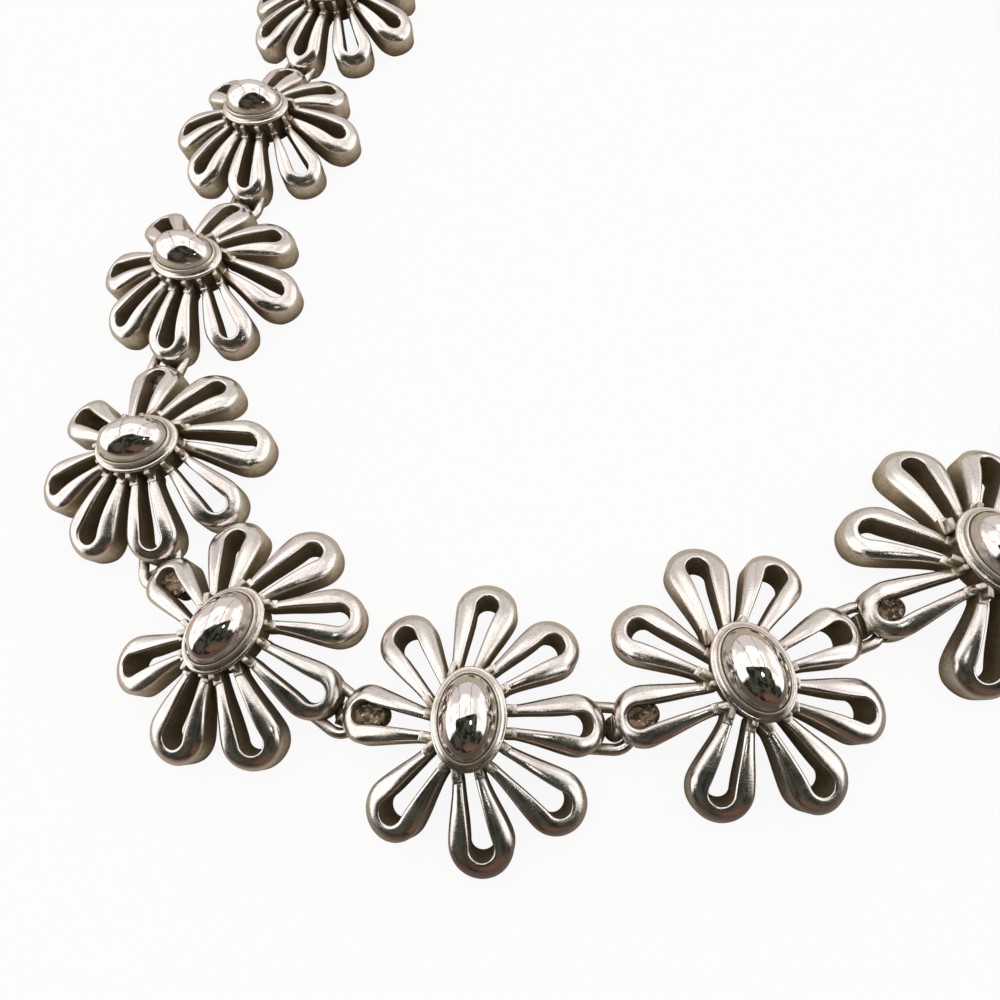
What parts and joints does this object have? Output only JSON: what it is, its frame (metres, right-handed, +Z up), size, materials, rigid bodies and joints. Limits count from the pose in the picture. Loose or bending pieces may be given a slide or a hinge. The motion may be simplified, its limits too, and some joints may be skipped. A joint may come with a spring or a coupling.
{
  "type": "flower link choker necklace",
  "caption": "Closed silver choker of identical openwork daisy links with high oval domes, hooked into each other by bails, with a plain bar clasp.",
  "frame": {"origin": "middle of the loop's box in plan, on the surface that it lies on", "axes": "+Z up out of the surface; +X and +Y in the surface, with the front of the choker towards -Y and its clasp at the back, towards +Y"},
  "size_m": [0.165, 0.156, 0.0101],
  "materials": {
    "silver": "polished cast silver with fine wear scratches and pits, and olive-brown tarnish in the openings and recesses"
  },
  "bodies": {
    "root": {"flower_01": "silver", "flower_02": "silver", "flower_03": "silver", "flower_04": "silver", "flower_05": "silver", "flower_06": "silver", "flower_07": "silver", "flower_08": "silver", "flower_09": "silver", "flower_10": "silver", "flower_11": "silver", "flower_12": "silver", "flower_13": "silver", "flower_14": "silver", "flower_15": "silver", "clasp": "silver"}
  },
  "joints": []
}
